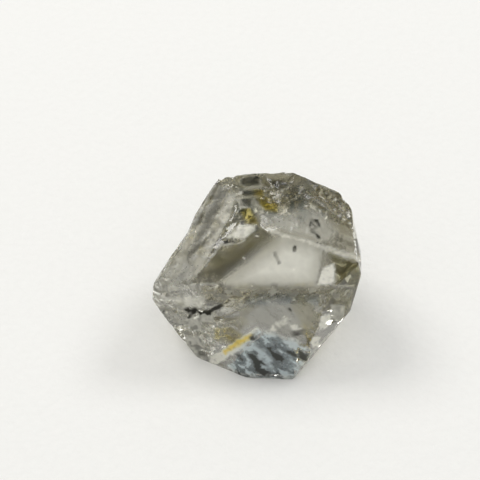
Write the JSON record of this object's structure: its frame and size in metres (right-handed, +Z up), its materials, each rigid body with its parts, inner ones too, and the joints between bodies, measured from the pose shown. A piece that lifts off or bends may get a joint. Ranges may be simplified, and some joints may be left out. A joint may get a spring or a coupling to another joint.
{
  "type": "rough topaz crystal",
  "caption": "Clear, colourless rough crystal with flat faces, shell-shaped breaks and stepped edges, lying on a flat break.",
  "frame": {"origin": "middle of the crystal's footprint box, on the flat break that it rests on", "axes": "+Z up, -Y toward the front with the low toe and the long level ridge, +X to the right seen from the front"},
  "size_m": [0.021, 0.0188, 0.0143],
  "materials": {
    "crystal": "clear, partly frosted"
  },
  "bodies": {
    "root": {"topaz_crystal": "crystal"}
  },
  "joints": []
}
